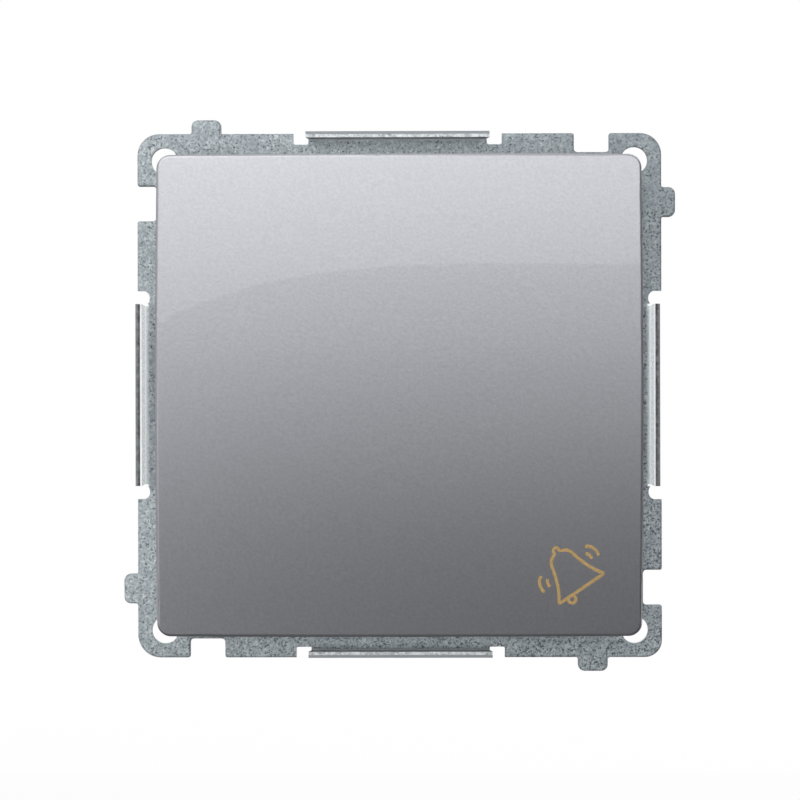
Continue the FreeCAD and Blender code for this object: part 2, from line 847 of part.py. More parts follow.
def on_key_rim(edge):
    """True for the edges between the domed front and the skirt."""
    box = edge.BoundBox
    outside = max(
        max(abs(box.XMin), abs(box.XMax)) - mm.key_width / 2,
        max(abs(box.ZMin), abs(box.ZMax)) - mm.key_height / 2,
    )
    return outside > -mm.key_wall / 2 and box.YMax < -mm.key_back - 1


key_soft = round_edges(key, key_shell, "Sizes.key_edge", on_key_rim)
hook_root = mm.key_front - mm.key_wall - 0.2
hook_catch = deck_back - 0.1
hook_end = hook_catch - 1.1
for up in (-1, 1):
    hooks = on_plane(key, "XY_Plane", str(up * hook_up))
    for across in (-1, 1):
        inner = across * (hook_across - mm.hook_thickness / 2)
        outer = across * (hook_across + mm.hook_thickness / 2)
        barb = outer + across * mm.hook_barb
        loop(
            hooks,
            [
                (inner, -hook_root, 0.0),
                (outer, -hook_root, 0.0),
                (outer, -hook_catch, 0.0),
                (barb, -hook_catch, 0.0),
                (outer, -hook_end, 0.0),
                (inner, -hook_end, 0.0),
            ],
        )
    pad(key, hooks, "Sizes.hook_width", both=True)
rib_back = mm.key_front - mm.key_rib_depth
rib_root = mm.key_front - mm.key_wall - mm.key_rib_sink
rib_half = mm.key_rib_thickness / 2
for side in (-1, 1):
    ribs = from_front(key, str(rib_back))
    block(
        ribs,
        -mm.key_width / 2 + 1,
        mm.key_width / 2 - 1,
        side * mm.key_rib_place - rib_half,
        side * mm.key_rib_place + rib_half,
    )
    pad(key, ribs, str(rib_root - rib_back))
    ribs = from_front(key, str(rib_back))
    block(
        ribs,
        side * mm.key_rib_place - rib_half,
        side * mm.key_rib_place + rib_half,
        -mm.key_height / 2 + 1,
        mm.key_height / 2 - 1,
    )
    pad(key, ribs, str(rib_root - rib_back))
nodes.append(key)


# Springs: round wire wound about an axis along Y
def spring(label, coil, wire, turns, start, finish, x, up):
    body = new_body(label)
    sketch = on_plane(body, "XY_Plane")
    ring(sketch, getattr(mm, coil), start + getattr(mm, wire), getattr(mm, wire), "Sizes." + wire)
    made = body.newObject("PartDesign::AdditiveHelix", label + "_helix")
    made.Profile = sketch
    made.ReferenceAxis = (sketch, ["V_Axis"])
    made.Mode = "height-turns-angle"
    made.Height = finish - start - 2 * getattr(mm, wire)
    made.setExpression("Turns", "Sizes." + turns)
    made.Angle = 0
    body.Placement = Placement(Vector(x, 0, up), Rotation())
    return body


return_spring = spring(
    "return_spring",
    "return_coil",
    "return_wire",
    "return_turns",
    -deck_back,
    well_depth,
    mm.return_spring_across,
    return_spring_up,
)
nodes.append(return_spring)
contact_spring = spring(
    "contact_spring",
    "contact_coil",
    "contact_wire",
    "contact_turns",
    arm_back,
    well_depth,
    mm.nose_across,
    contact_spring_up,
)
nodes.append(contact_spring)

# Contact arm: a bronze blade with a rolled eye on a pin, and a silver rivet at its tip
arm_axis = arm_front + 0.4
arm = new_body("contact_arm")
blade = from_front(arm, str(-arm_back))
arm_end = -contact_place - 2.0
loop(
    blade,
    [
        (arm_left, arm_end, 1.6),
        (arm_right, arm_end, 1.6),
        (arm_right, mm.arm_pivot_up - 0.6, 0.0),
        (arm_left, mm.arm_pivot_up - 0.6, 0.0),
    ],
)
pad(arm, blade, "Sizes.arm_thickness")
eye = on_plane(arm, "YZ_Plane", "Sizes.nose_across")
ring(eye, arm_axis, mm.arm_pivot_up, mm.arm_eye, "Sizes.arm_eye")
pad(arm, eye, "Sizes.arm_width", both=True)
bore = on_plane(arm, "YZ_Plane", "Sizes.nose_across")
ring(bore, arm_axis, mm.arm_pivot_up, mm.contact_pin + mm.pin_clearance)
pocket(arm, bore, "Sizes.arm_width + 1", both=True)
rivet_hole = from_front(arm)
ring(rivet_hole, mm.nose_across, -contact_place, mm.contact_shank, "Sizes.contact_shank")
pocket(arm, rivet_hole, both=True)
nodes.append(arm)


def silver_contact(label, back_front, shank):
    """A rivet head with a slightly domed face and a shank through its carrier."""
    body = new_body(label)
    profile = on_plane(body, "XY_Plane")
    head = mm.contact_head_height
    loop(
        profile,
        [
            (0, -shank, 0.0),
            (mm.contact_shank - 0.01, -shank, 0.0),
            (mm.contact_shank - 0.01, 0, 0.0),
            (mm.contact_head, 0, 0.0),
            (mm.contact_head, head * 0.7, 0.0),
            (mm.contact_head * 0.6, head, 0.0),
            (0, head, 0.0),
        ],
    )
    turned(body, profile)
    return body


moving = silver_contact("moving_contact", arm_back, mm.arm_thickness)
moving.Placement = Placement(Vector(mm.nose_across, arm_back, -contact_place), Rotation())
nodes.append(moving)
fixed = silver_contact("fixed_contact", strip_front, mm.strip_thickness)
fixed.Placement = Placement(
    Vector(mm.nose_across, strip_front, -contact_place), Rotation(Vector(0, 0, 1), 180)
)
nodes.append(fixed)

# Arm bracket: a bent strip with two lugs for the pin and a tail to the upper terminal
bracket = new_body("arm_bracket")
lug_gap = 0.5
lug_inner = mm.arm_width / 2 + lug_gap
lug_outer = lug_inner + mm.strip_thickness
lug_low = mm.arm_pivot_up - 1.7
floor_front = well_depth - mm.strip_thickness
bracket_floor = from_front(bracket, str(-well_depth))
block(
    bracket_floor,
    mm.nose_across - lug_outer,
    mm.nose_across + lug_outer,
    lug_low,
    block_in,
)
pad(bracket, bracket_floor, "Sizes.strip_thickness")
for start in (mm.nose_across + lug_inner, mm.nose_across - lug_outer):
    lug = on_plane(bracket, "YZ_Plane", str(start))
    block(lug, arm_axis - 1.7, well_depth - 0.1, lug_low, mm.arm_pivot_up + 1.7, 0.0)
    pad(bracket, lug, "Sizes.strip_thickness")
lug_holes = on_plane(bracket, "YZ_Plane", "Sizes.nose_across")
ring(lug_holes, arm_axis, mm.arm_pivot_up, mm.contact_pin + 0.01)
pocket(bracket, lug_holes, str(2 * lug_outer + 1), both=True)
upper_tail = from_front(bracket, str(-tail_back))
block(upper_tail, arm_left + 0.3, arm_right - 0.3, tail_in, block_in)
pad(bracket, upper_tail, str(tail_back - floor_front))
nodes.append(bracket)

contact_pin = new_body("contact_pin")
pin_round = on_plane(contact_pin, "YZ_Plane", "Sizes.nose_across")
ring(pin_round, arm_axis, mm.arm_pivot_up, mm.contact_pin, "Sizes.contact_pin")
pad(contact_pin, pin_round, str(2 * lug_outer + 0.6), both=True)
nodes.append(contact_pin)

# Contact strip: an angle that carries the fixed contact to the lower terminal
strip = new_body("contact_strip")
leg = from_front(strip, str(-strip_back))
block(leg, arm_left, arm_right, -tail_out, -contact_place + 1.7, 0.0)
pad(strip, leg, "Sizes.strip_thickness")
lower_tail = from_front(strip, str(-tail_back))
block(lower_tail, arm_left, arm_right, -tail_out, -block_out)
pad(strip, lower_tail, str(tail_back - strip_front))
strip_hole = from_front(strip)
ring(strip_hole, mm.nose_across, -contact_place, mm.contact_shank, "Sizes.contact_shank")
pocket(strip, strip_hole, both=True)
nodes.append(strip)

# Terminal blocks: brass bars with two wire bores each, and a clamping screw over each bore
block_front = well_depth + mm.floor_thickness
block_back = block_front + mm.block_depth
terminal = new_body("terminal_block_single")
bar = from_front(terminal, str(-block_back))
centred(bar, mm.block_length, mm.block_height)
bar_pad = pad(terminal, bar, "Sizes.block_depth")
wires = on_plane(terminal, "XY_Plane")
for across in (-1, 1):
    ring(wires, across * mm.terminal_pitch / 2, wire_depth, mm.wire_bore, "Sizes.wire_bore")
pocket(terminal, wires, both=True)
taps = from_front(terminal, str(-block_back))
for across in (-1, 1):
    ring(
        taps,
        across * mm.terminal_pitch / 2,
        0,
        mm.screw_shank + mm.pin_clearance,
        "Sizes.screw_shank + Sizes.pin_clearance",
    )
pocket(terminal, taps, str(block_back - wire_depth), back=True)
terminal_places = [Placement(Vector(0, 0, up * block_up), Rotation()) for up in (-1, 1)]
nodes.append(group("terminal_blocks", terminal, terminal_places))

terminal_screw = new_body("terminal_screw_single")
slotted_screw(
    terminal_screw,
    mm.screw_head,
    mm.screw_head_height,
    mm.screw_shank,
    mm.terminal_shank_length,
)
head_seat = block_back + mm.terminal_lift
terminal_screw_places = [
    Placement(
        Vector(across * mm.terminal_pitch / 2, head_seat, up * block_up),
        Rotation(Vector(0, 0, 1), 180) * Rotation(Vector(0, 1, 0), 25 * across - 40 * up),
    )
    for across in (-1, 1)
    for up in (-1, 1)
]
nodes.append(group("terminal_screws", terminal_screw, terminal_screw_places))

# Claws: bent steel levers on pins, drawn forward by a barrel nut on a long screw
fork_back = claw_pivot_y - mm.nut_back
fork_front = fork_back - mm.claw_thickness
nut_centre = fork_back + mm.claw_slack + mm.nut_round
strip_out = claw_pivot_x + mm.claw_eye
strip_in = strip_out - mm.claw_thickness
for name, side in (("left", -1), ("right", 1)):
    claw = new_body("claw_" + name)
    eye = on_plane(claw, "XY_Plane")
    ring(eye, side * claw_pivot_x, claw_pivot_y, mm.claw_eye, "Sizes.claw_eye")
    pad(claw, eye, "Sizes.claw_width", both=True)
    lever = on_plane(claw, "XY_Plane")
    tooth = mm.claw_tooth_depth
    loop(
        lever,
        [
            (side * strip_in, claw_pivot_y, 0.0),
            (side * strip_in, tooth + 2.4, 0.8),
            (side * (strip_in + mm.claw_tooth_reach), tooth, 0.0),
            (side * (strip_out + mm.claw_tooth_reach), tooth, 0.0),
            (side * strip_out, tooth + 2.2, 0.8),
            (side * strip_out, claw_pivot_y, 0.0),
        ],
    )
    pad(claw, lever, "Sizes.claw_width", both=True)
    fork = on_plane(claw, "XY_Plane")
    loop(
        fork,
        [
            (side * claw_fork_end, fork_front, 0.0),
            (side * claw_pivot_x, fork_front, 0.0),
            (side * claw_pivot_x, fork_back, 0.0),
            (side * claw_fork_end, fork_back, 0.0),
        ],
    )
    pad(claw, fork, "Sizes.claw_width", both=True)
    hole = on_plane(claw, "XY_Plane")
    ring(hole, side * claw_pivot_x, claw_pivot_y, mm.claw_pin + mm.pin_clearance)
    pocket(claw, hole, both=True)
    gap = on_plane(claw, "YZ_Plane", str(side * (claw_fork_end - 1)))
    prong_gap = mm.claw_screw_shank + mm.claw_slack
    block(gap, fork_front - 0.5, fork_back + 0.2, -prong_gap, prong_gap)
    gap_end = claw_screw_x + prong_gap
    pocket(claw, gap, str(gap_end - claw_fork_end + 1), back=side > 0)
    teeth = from_front(claw, str(-tooth + 0.5))
    for middle in (-1, 1):
        at = middle * mm.claw_width / 4
        edge = side * (strip_out + mm.claw_tooth_reach + 0.2)
        root = side * (strip_out - 0.9)
        loop(teeth, [(edge, at - 1.5, 0.0), (edge, at + 1.5, 0.0), (root, at, 0.0)])
    pocket(claw, teeth, "2.6")
    nodes.append(claw)

    nut = new_body("claw_nut_" + name)
    barrel = on_plane(nut, "XY_Plane")
    nut_back = nut_centre + mm.nut_back
    edge = math.sqrt(mm.nut_round**2 - mm.nut_back**2)
    left = Vector(side * claw_screw_x - edge, nut_back, 0)
    right = Vector(side * claw_screw_x + edge, nut_back, 0)
    nose_of_nut = Vector(side * claw_screw_x, nut_centre - mm.nut_round, 0)
    barrel.addGeometry(Part.ArcOfCircle(left, nose_of_nut, right), False)
    barrel.addGeometry(Part.LineSegment(right, left), False)
    pad(nut, barrel, "Sizes.nut_length", both=True)
    tapped = from_front(nut)
    ring(tapped, side * claw_screw_x, 0, mm.claw_screw_shank + mm.pin_clearance)
    pocket(nut, tapped, both=True)
    nodes.append(nut)

    screw = new_body("claw_screw_" + name)
    slotted_screw(
        screw,
        mm.claw_screw_head,
        mm.claw_screw_head_height,
        mm.claw_screw_shank,
        mm.base_depth + raised_front - mm.claw_screw_inset,
    )
    screw.Placement = Placement(
        Vector(side * claw_screw_x, -raised_front, 0), Rotation(Vector(0, 1, 0), 20 * side)
    )
    nodes.append(screw)

claw_pin = new_body("claw_pin_single")
pin_round = on_plane(claw_pin, "XY_Plane")
ring(pin_round, 0, 0, mm.claw_pin, "Sizes.claw_pin")
pad(claw_pin, pin_round, str(2 * (ear_inner + mm.ear_thickness) + 0.6), both=True)
claw_pin_places = [
    Placement(Vector(side * claw_pivot_x, claw_pivot_y, 0), Rotation())
    for side in (-1, 1)
]
nodes.append(group("claw_pins", claw_pin, claw_pin_places))

doc.recompute()
failed = [item.Name for item in doc.Objects if {"Invalid", "Error"} & set(item.State)]
if failed:
    raise RuntimeError(f"These failed: {failed}")
for node in nodes:
    shape = node.Shape
    if shape.isNull() or not shape.isValid():
        raise RuntimeError(f"{node.Label} has no valid shape")
    shape.exportStep(f"parts/{node.Label}.step")
    print(node.Label, len(shape.Solids), round(shape.Volume, 1))
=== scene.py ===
# %% [markdown]
# # A flush bell push in its mounting plate
# The model comes from the CAD frame: every rigid piece is already there in metres, at its
# real place. This lesson gives each piece the finish of the real one, prints the small
# bell sign on the key, and sets up a plain studio that shows lacquer and zinc as they are.

# %% Load the frame
import math

import bmesh
import bpy
from mathutils import Matrix, Vector


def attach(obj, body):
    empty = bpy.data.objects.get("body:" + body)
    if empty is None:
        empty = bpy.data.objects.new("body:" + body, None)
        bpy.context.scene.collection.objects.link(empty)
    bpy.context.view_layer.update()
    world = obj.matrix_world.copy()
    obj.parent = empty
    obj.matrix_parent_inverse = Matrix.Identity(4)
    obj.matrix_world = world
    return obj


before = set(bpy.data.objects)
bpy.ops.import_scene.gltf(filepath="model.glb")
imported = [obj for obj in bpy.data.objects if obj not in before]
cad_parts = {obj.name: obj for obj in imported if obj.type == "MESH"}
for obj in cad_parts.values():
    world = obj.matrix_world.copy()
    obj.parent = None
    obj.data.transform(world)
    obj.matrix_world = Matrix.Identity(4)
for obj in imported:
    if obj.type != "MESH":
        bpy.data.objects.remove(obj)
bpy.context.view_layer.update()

MM = 0.001

# %% [markdown]
# ## Colours and nodes
# Colours are written as the hex values that a screen shows, because those can be read off
# a swatch. Cycles works with linear light, so one function turns hex to linear with the
# sRGB standard's own formula. A second function adds a shader node with its settings and
# its links, so that each material below reads like a short recipe. A node such as Mix has
# several sockets of one name and uses only some of them, so the function takes the first
# that is in use. Math nodes have no telling names, so their inputs are given by number.


# %% Helpers for colours and nodes
def colour(hex_value):
    """A screen colour such as "C9C9C4" as linear light with full alpha."""
    parts = [int(hex_value[i : i + 2], 16) / 255 for i in (0, 2, 4)]
    linear = [p / 12.92 if p <= 0.04045 else ((p + 0.055) / 1.055) ** 2.4 for p in parts]
    return (*linear, 1.0)


def grey(value):
    return (value, value, value, 1.0)


def add_node(tree, kind, inputs=None, stops=(), **settings):
    """Adds one node; an input is a value, a socket or a node to link from, stops are a ramp's."""
    made = tree.nodes.new(kind)
    for name, value in settings.items():
        setattr(made, name, value)
    for key, value in (inputs or {}).items():
        named = [socket for socket in made.inputs if socket.enabled and socket.name == key]
        goal = named[0] if named else made.inputs[key]
        if isinstance(value, bpy.types.Node):
            value = [socket for socket in value.outputs if socket.enabled][0]
        if isinstance(value, bpy.types.NodeSocket):
            tree.links.new(value, goal)
        else:
            goal.default_value = value
    while stops and len(made.color_ramp.elements) < len(stops):
        made.color_ramp.elements.new(0.5)
    for index, (position, tone) in enumerate(stops):
        made.color_ramp.elements[index].position = position
        made.color_ramp.elements[index].color = tone
    return made


def new_material(name):
    """An empty material, and Object coordinates, which are metres on the piece itself."""
    material = bpy.data.materials.new(name)
    material.use_nodes = True
    tree = material.node_tree
    tree.nodes.clear()
    place = add_node(tree, "ShaderNodeTexCoord").outputs["Object"]
    return material, tree, place


print("mid grey 808080 as linear light:", round(colour("808080")[0], 3))

# %% [markdown]
# ## Silver lacquer on the key
# The key is a moulded plastic shell, sprayed with aluminium lacquer and a clear coat. The
# flakes lie nearly flat, so the eye sees a satin metal with a faint mottling. The coat on
# top is smooth and adds a sharp reflection of its own, in which the edge of a card in the
# studio shows as one crisp arc. So the flakes tone and tilt the metal below, and the coat
# keeps the shell's own normal: a coat left unlinked would follow the flakes and blur the
# arc. Real flakes are about 0.03 mm, too fine to show, and are drawn at 0.38 mm.

# %% The key's lacquer
FLAKE = 0.38 * MM
lacquer, tree, place = new_material("silver_lacquer")
flake = add_node(
    tree,
    "ShaderNodeTexNoise",
    {"Vector": place, "Scale": 1 / FLAKE, "Detail": 2.0, "Roughness": 0.6},
)
flake_tones = [(0.25, colour("C5C6CD")), (0.5, colour("CDCED5")), (0.75, colour("D4D5DC"))]
bump = {"Height": flake, "Strength": 0.26, "Distance": 0.05 * MM}
shader = add_node(
    tree,
    "ShaderNodeBsdfPrincipled",
    {
        "Base Color": add_node(tree, "ShaderNodeValToRGB", {"Fac": flake}, flake_tones),
        "Metallic": 1.0,
        "Roughness": 0.36,
        "Normal": add_node(tree, "ShaderNodeBump", bump),
        "Coat Weight": 1.0,
        "Coat Roughness": 0.02,
        "Coat IOR": 1.9,
        "Coat Normal": add_node(tree, "ShaderNodeNewGeometry").outputs["Normal"],
    },
)
add_node(tree, "ShaderNodeOutputMaterial", {"Surface": shader})
print("lacquer: nodes", len(tree.nodes))

# %% [markdown]
# ## Galvanised sheet
# The mounting plate is blanked, pressed and folded from sheet steel that was dipped in
# zinc. The zinc dulls to a blue-grey, and its crystals and pits give the eye light and
# dark specks of about 0.3 mm. Working the sheet leaves other surfaces: the folds come out
# smooth, and the tip of each lip shows the cut, bright where the metal was cut clean and
# dark where it broke. On top of that, light and shade are painted in: the blanked edges
# get a painted highlight, the inner faces of the side lips are painted bright as light,
# and the plate is painted darker towards the right, the top right and the lower right
# as shade. All of that is one material, which finds each surface by its place on the
# plate and by the way it faces. A painted mask would do as well, but then the finish
# would depend on one mesh's layout.

# %% Grain of the zinc and of the torn metal
SPECK, CLOUD, TEAR = 0.3 * MM, 3 * MM, 0.5 * MM
zinc, tree, place = new_material("galvanised_sheet")
crystal = add_node(tree, "ShaderNodeTexVoronoi", {"Vector": place, "Scale": 1 / SPECK})
grain = {}
for name, size, detail, roughness in (
    ("speck", SPECK, 3.0, 0.75),
    ("cloud", CLOUD, 3.0, 0.5),
    ("torn", TEAR, 5.0, 0.8),
):
    grain[name] = add_node(
        tree,
        "ShaderNodeTexNoise",
        {"Vector": place, "Scale": 1 / size, "Detail": detail, "Roughness": roughness},
    )
print("zinc: grains", list(grain))

# %% [markdown]
# ### Where a point lies on the plate
# First come the measures, in millimetres: how far a point lies forward of the wall, how
# far beyond the inner face of its lip, and so on. The lips' inner faces are at the places
# named here, which are the CAD's. A table holds one row for each step, with what to work
# out and from what, so that the whole plan can be read at a glance.

# %% Measures
RIGHT_LIP, LEFT_LIP, TOP_LIP, BOTTOM_LIP = 33.8, 34.25, 34.5, 34.25
in_mm = add_node(tree, "ShaderNodeVectorMath", {0: place, "Scale": 1 / MM}, operation="SCALE")
split = add_node(tree, "ShaderNodeSeparateXYZ", {"Vector": in_mm})
geometry = add_node(tree, "ShaderNodeNewGeometry")
faces = add_node(tree, "ShaderNodeSeparateXYZ", {"Vector": geometry.outputs["True Normal"]})
field = {axis: split.outputs[axis] for axis in "XYZ"}
field["rearward"] = faces.outputs["Y"]
for name, operation, *operands in (
    ("forward", "MULTIPLY", "Y", -1.0),
    ("height", "ABSOLUTE", "Z"),
    ("down_right", "SUBTRACT", "X", "Z"),
    ("up_right", "ADD", "X", "Z"),
    ("past_right", "SUBTRACT", "X", RIGHT_LIP),
    ("past_left", "MULTIPLY_ADD", "X", -1.0, -LEFT_LIP),
    ("past_top", "SUBTRACT", "Z", TOP_LIP),
    ("past_bottom", "MULTIPLY_ADD", "Z", -1.0, -BOTTOM_LIP),
    ("beyond_side", "MAXIMUM", "past_right", "past_left"),
    ("beyond_end", "MAXIMUM", "past_top", "past_bottom"),
    ("turned", "ABSOLUTE", "rearward"),
):
    values = {index: field.get(operand, operand) for index, operand in enumerate(operands)}
    field[name] = add_node(tree, "ShaderNodeMath", values, operation=operation)
print("zinc: measures", list(field))

# %% [markdown]
# ### Zones
# A zone is a measure turned into a level: one level before its start, another after its
# finish, and a straight rise between the two. The lips stand forward of the sheet, which
# is 0.8 mm thick: side lips to 4.3 mm, upper and lower ones to 2.8 mm. Towards the lower
# right the dark specks lie closer together, a painted shade where the light from the left
# falls off.

# %% Zones: measure, start and finish in mm, and the levels before and after
for name, (measure, start, finish, before, after) in {
    # Painted shade: the dark specks grow denser towards the lower right.
    "pit_shade_lower_right": ("down_right", -20.0, 55.0, 0.0, 1.0),
    # Painted shade: this row and the next darken the tone towards the right and the top right.
    "painted_shade_right": ("X", -15.0, 30.0, 0.0, 0.2),
    "shaded": ("up_right", 32.0, 64.0, 0.0, 0.3),
    "off_the_sheet": ("forward", 0.84, 0.95, 0.0, 1.0),
    "end_lip": ("beyond_end", -0.9, -0.7, 0.0, 1.0),
    "end_lip_face": ("beyond_end", 0.7, 0.75, 1.0, 0.0),
    "end_lip_inside": ("height", 33.9, 34.2, 0.0, 1.0),
    "end_lip_outside": ("beyond_end", 0.36, 0.46, 0.0, 1.0),
    "end_tip": ("forward", 2.75, 2.78, 0.0, 1.0),
    "below_end_tip": ("forward", 2.72, 2.75, 1.0, 0.0),
    "side_lip_length": ("height", 12.3, 12.4, 1.0, 0.0),
    "side_lip": ("beyond_side", -0.62, -0.1, 0.0, 1.0),
    "side_lip_face": ("beyond_side", 0.5, 0.6, 1.0, 0.0),
    "side_lip_break": ("beyond_side", 0.12, 0.22, 0.0, 1.0),
    "side_lip_outside": ("beyond_side", 0.4, 0.9, 0.0, 0.7),
    "side_tip": ("forward", 4.2, 4.25, 0.0, 1.0),
    "below_side_tip": ("forward", 4.22, 4.25, 1.0, 0.0),
    "not_rear": ("rearward", 0.02, 0.1, 1.0, 0.0),
    # Painted highlight: faces turned away from the front, such as the blanked edges, are painted
    # bright.
    "sheared_edge_highlight": ("turned", 0.3, 0.6, 0.8, 0.0),
}.items():
    rise = {"From Min": start, "From Max": finish, "To Min": before, "To Max": after}
    field[name] = add_node(tree, "ShaderNodeMapRange", {"Value": field[measure], **rise})
print("zinc: measures and zones", len(field))

# %% [markdown]
# ### Overlaps
# A surface such as the inner face of a side lip is where several zones overlap. Zones are
# levels from 0 to 1, so multiplying them gives the overlap, and the larger of two of them
# gives either. Rear faces are left out: what follows would turn them black from behind.

# %% Overlaps of the zones
for name, operation, first, *others in (
    ("end_cut", "MULTIPLY", "end_lip", "end_tip"),
    ("end_face", "MULTIPLY", "end_lip", "off_the_sheet", "end_lip_face"),
    ("inner_end", "MULTIPLY", "end_lip_inside", "off_the_sheet", "not_rear", "below_end_tip"),
    ("side_cut", "MULTIPLY", "side_lip_break", "side_tip"),
    # Painted light: the inner faces of the side lips, in the key's shade, are painted bright.
    ("painted_light_side_lips", "MULTIPLY", "side_lip_length", "side_lip", "not_rear", "side_lip_face"),
    ("inner_side", "MULTIPLY", "painted_light_side_lips", "below_side_tip"),
    ("worked", "MAXIMUM", "painted_light_side_lips", "end_face"),
    ("inner", "MAXIMUM", "inner_side", "inner_end"),
):
    field[name] = field[first]
    for other in others:
        pair = {0: field[name], 1: field[other]}
        field[name] = add_node(tree, "ShaderNodeMath", pair, operation=operation)
print("zinc: with overlaps", len(field))

# %% [markdown]
# ### Tones
# The tones of the zinc and of the cuts are colour ramps over the grain. Then one coat
# after another is laid over the crystals, each with its own zone: painted shade towards
# the right and the top right, dark pits, dull clouds, edges painted bright as a highlight,
# side-lip faces painted bright as light and, last, the cut tips of the lips.

# %% Ramps over the grain
PITTING = -0.042
# Painted shade: the dark specks lie closer together towards the lower right.
pits = {0: field["pit_shade_lower_right"], 1: PITTING, 2: grain["speck"]}
field["pitted"] = add_node(tree, "ShaderNodeMath", pits, operation="MULTIPLY_ADD")
ramps = {}
for name, source, stops in (
    ("crystals", crystal.outputs["Color"], ((0.0, "96A0A5"), (0.55, "B3BBBE"), (1.0, "DEE4E6"))),
    ("pits", field["pitted"], ((0.36, 1.0), (0.45, 0.0))),
    ("dulled", grain["cloud"], ((0.3, 0.45), (0.7, 0.0))),
    ("roughness", grain["speck"], ((0.3, 0.62), (0.7, 0.42))),
    ("smooth_cut", grain["torn"], ((0.34, "7B8185"), (0.56, "D0D4D6"))),
    ("broken_cut", grain["torn"], ((0.4, "1A181C"), (0.62, "6E6E73"))),
):
    tones = [(at, colour(tone) if isinstance(tone, str) else grey(tone)) for at, tone in stops]
    ramps[name] = add_node(tree, "ShaderNodeValToRGB", {"Fac": source}, tones)
print("zinc: ramps", list(ramps))

# %% Coats, each over the one before
cuts = {}
for name, zone, edge in (
    ("smooth_cut", "end_lip_outside", "84898C"),
    ("broken_cut", "side_lip_outside", "B5B8BA"),
):
    mixed = {"Factor": field[zone], "A": ramps[name], "B": colour(edge)}
    cuts[name] = add_node(tree, "ShaderNodeMix", mixed, data_type="RGBA")
zinc_tone = ramps["crystals"]
for factor, coat in (
    # Painted shade: the first two coats darken the tone towards the right and the top right.
    (field["painted_shade_right"], colour("7F888E")),
    (field["shaded"], colour("7F888E")),
    (ramps["pits"], colour("3F464C")),
    (ramps["dulled"], colour("8C969D")),
    # Painted highlight on the edge faces.
    (field["sheared_edge_highlight"], colour("D5DBDD")),
    # Painted light on the inner faces of the side lips.
    (field["painted_light_side_lips"], colour("E4E9EB")),
    (field["end_face"], colour("B4BABD")),
    (field["end_cut"], cuts["smooth_cut"]),
    (field["side_cut"], cuts["broken_cut"]),
):
    mixed = {"Factor": factor, "A": zinc_tone, "B": coat}
    zinc_tone = add_node(tree, "ShaderNodeMix", mixed, data_type="RGBA")
print("zinc: nodes with all coats", len(tree.nodes))

# %% [markdown]
# ### Relief and the rolled folds
# Specks and tears are also relief. A real fold is rolled softly, so the inner faces of the
# lips turn to the front by degrees and shine. The CAD's lips are plain and stand square to
# the sheet, so the camera would see them dark. Here their normals lean to the front as the
# roll does, and the side lips' faces are bare, smooth metal. Leaning the normals costs
# nothing, while rolled meshes would need another blank in the CAD.

# %% Levels from the zones
LIP_LEAN = 0.9
for name, zone, outside, inside in (
    ("metallic", "worked", 0.6, 0.15),
    ("smoothness", "inner_side", 1.0, 0.5),
    ("relief", "inner_side", 0.3, 0.05),
    ("lean", "inner", 0.0, LIP_LEAN),
):
    levels = {"Value": field[zone], "To Min": outside, "To Max": inside}
    field[name] = add_node(tree, "ShaderNodeMapRange", levels)
for name, operation, first, second in (
    ("bare", "MAXIMUM", field["metallic"], field["inner_side"]),
    ("rough", "MULTIPLY", ramps["roughness"], field["smoothness"]),
    ("bumps", "ADD", grain["speck"], grain["torn"]),
):
    field[name] = add_node(tree, "ShaderNodeMath", {0: first, 1: second}, operation=operation)
print("zinc: levels", list(field)[-7:])

# %% Normals and shader
LIP_FACES = (0.0, -1.0, 0.18)
to_front = add_node(
    tree,
    "ShaderNodeVectorTransform",
    {"Vector": LIP_FACES},
    vector_type="NORMAL",
    convert_from="OBJECT",
    convert_to="WORLD",
)
mixed = {"Factor": field["lean"], "A": geometry.outputs["Normal"], "B": to_front}
leaning = add_node(tree, "ShaderNodeMix", mixed, data_type="VECTOR")
relief = {"Height": field["bumps"], "Strength": field["relief"], "Distance": 0.05 * MM}
shader = add_node(
    tree,
    "ShaderNodeBsdfPrincipled",
    {
        "Base Color": zinc_tone,
        "Metallic": field["bare"],
        "Roughness": field["rough"],
        "Normal": add_node(tree, "ShaderNodeBump", {**relief, "Normal": leaning}),
    },
)
add_node(tree, "ShaderNodeOutputMaterial", {"Surface": shader})
print("zinc: nodes", len(tree.nodes))

# %% [markdown]
# ## Moulded plastics
# The housing, the bearing frame and the rocker are moulded in thermoplastic. The mould was
# spark-eroded, which leaves a fine matt grain, and the melt leaves faint clouds where it
# flowed. To the eye that is a soft, even sheen. The real grain is about 0.05 mm, too fine
# to show, and is drawn at 0.25 mm.


# %% Plastics
def moulded_plastic(name, tone, darker, roughness):
    material, tree, place = new_material(name)
    grain, flow = [
        add_node(
            tree,
            "ShaderNodeTexNoise",
            {"Vector": place, "Scale": 1 / (size * MM), "Detail": detail, "Roughness": soft},
        )
        for size, detail, soft in ((0.25, 3.0, 0.6), (12.0, 2.0, 0.5))
    ]
    tones = [(0.35, colour(darker)), (0.65, colour(tone))]
    bump = {"Height": grain, "Strength": 0.2, "Distance": 0.04 * MM}
    shader = add_node(
        tree,
        "ShaderNodeBsdfPrincipled",
        {
            "Base Color": add_node(tree, "ShaderNodeValToRGB", {"Fac": flow}, tones),
            "Roughness": roughness,
            "IOR": 1.5,
            "Normal": add_node(tree, "ShaderNodeBump", bump),
        },
    )
    add_node(tree, "ShaderNodeOutputMaterial", {"Surface": shader})
    return material


grey_plastic = moulded_plastic("grey_thermoplastic", "CFCFCA", "C5C5BF", 0.5)
pale_plastic = moulded_plastic("pale_thermoplastic", "DEDEDB", "D5D5D1", 0.45)
print("plastics:", grey_plastic.name, pale_plastic.name)

